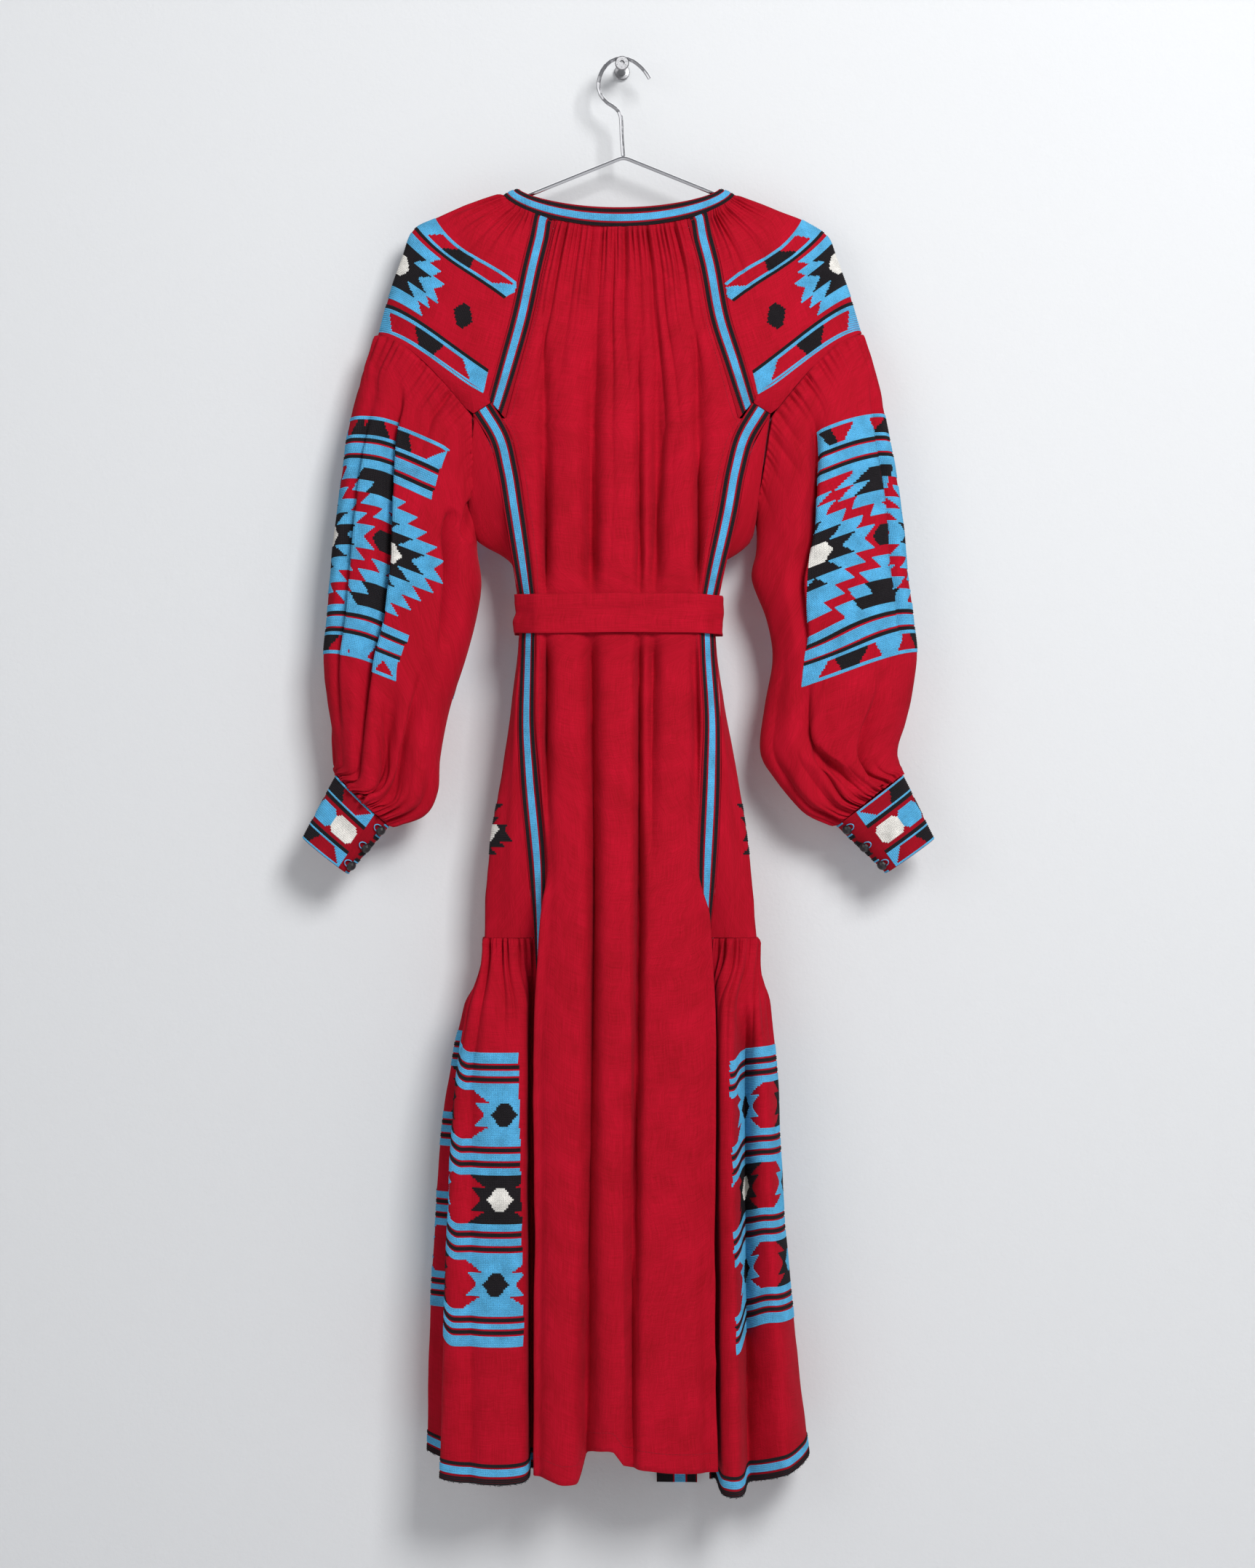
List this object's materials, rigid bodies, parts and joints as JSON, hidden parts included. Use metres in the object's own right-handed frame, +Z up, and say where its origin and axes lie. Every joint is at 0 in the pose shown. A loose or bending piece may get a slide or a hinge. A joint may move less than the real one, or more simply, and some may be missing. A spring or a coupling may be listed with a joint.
{
  "type": "long-sleeved embroidered folk dress on a wire hanger and wall peg",
  "caption": "Belted raglan dress with gathered neck, full cuffed sleeves, tapes and flared side tiers, hung by a wire hanger on a wall peg.",
  "frame": {"origin": "centre of the wall peg's rear face, on the wall", "axes": "+X right as seen from the room, +Y into the wall, +Z up"},
  "size_m": [0.6478, 0.1177, 1.4737],
  "materials": {
    "red_linen": "matte",
    "blue_yarn": "matte",
    "black_button": "gloss",
    "chrome_wire": "polished",
    "satin_steel": "satin"
  },
  "bodies": {
    "root": {"back_panel": "red_linen", "front_panel": "red_linen", "front_centre_band": "red_linen", "collar_band": "red_linen", "upper_sleeve_left": "red_linen", "lower_sleeve_left": "red_linen", "cuff_left": "red_linen", "side_panel_left": "red_linen", "side_tier_left": "red_linen", "hem_trim_left": "red_linen", "upper_sleeve_right": "red_linen", "lower_sleeve_right": "red_linen", "cuff_right": "red_linen", "side_panel_right": "red_linen", "side_tier_right": "red_linen", "hem_trim_right": "red_linen", "belt": "red_linen", "raglan_tape_back_left": "blue_yarn", "side_tape_back_left": "blue_yarn", "raglan_tape_front_left": "blue_yarn", "side_tape_front_left": "blue_yarn", "raglan_tape_back_right": "blue_yarn", "side_tape_back_right": "blue_yarn", "raglan_tape_front_right": "blue_yarn", "side_tape_front_right": "blue_yarn", "cuff_button_left_1": "black_button", "cuff_button_left_2": "black_button", "cuff_button_left_3": "black_button", "cuff_button_right_1": "black_button", "cuff_button_right_2": "black_button", "cuff_button_right_3": "black_button", "hanger_arms": "chrome_wire", "hanger_hook": "chrome_wire", "wall_peg": "satin_steel"}
  },
  "joints": []
}
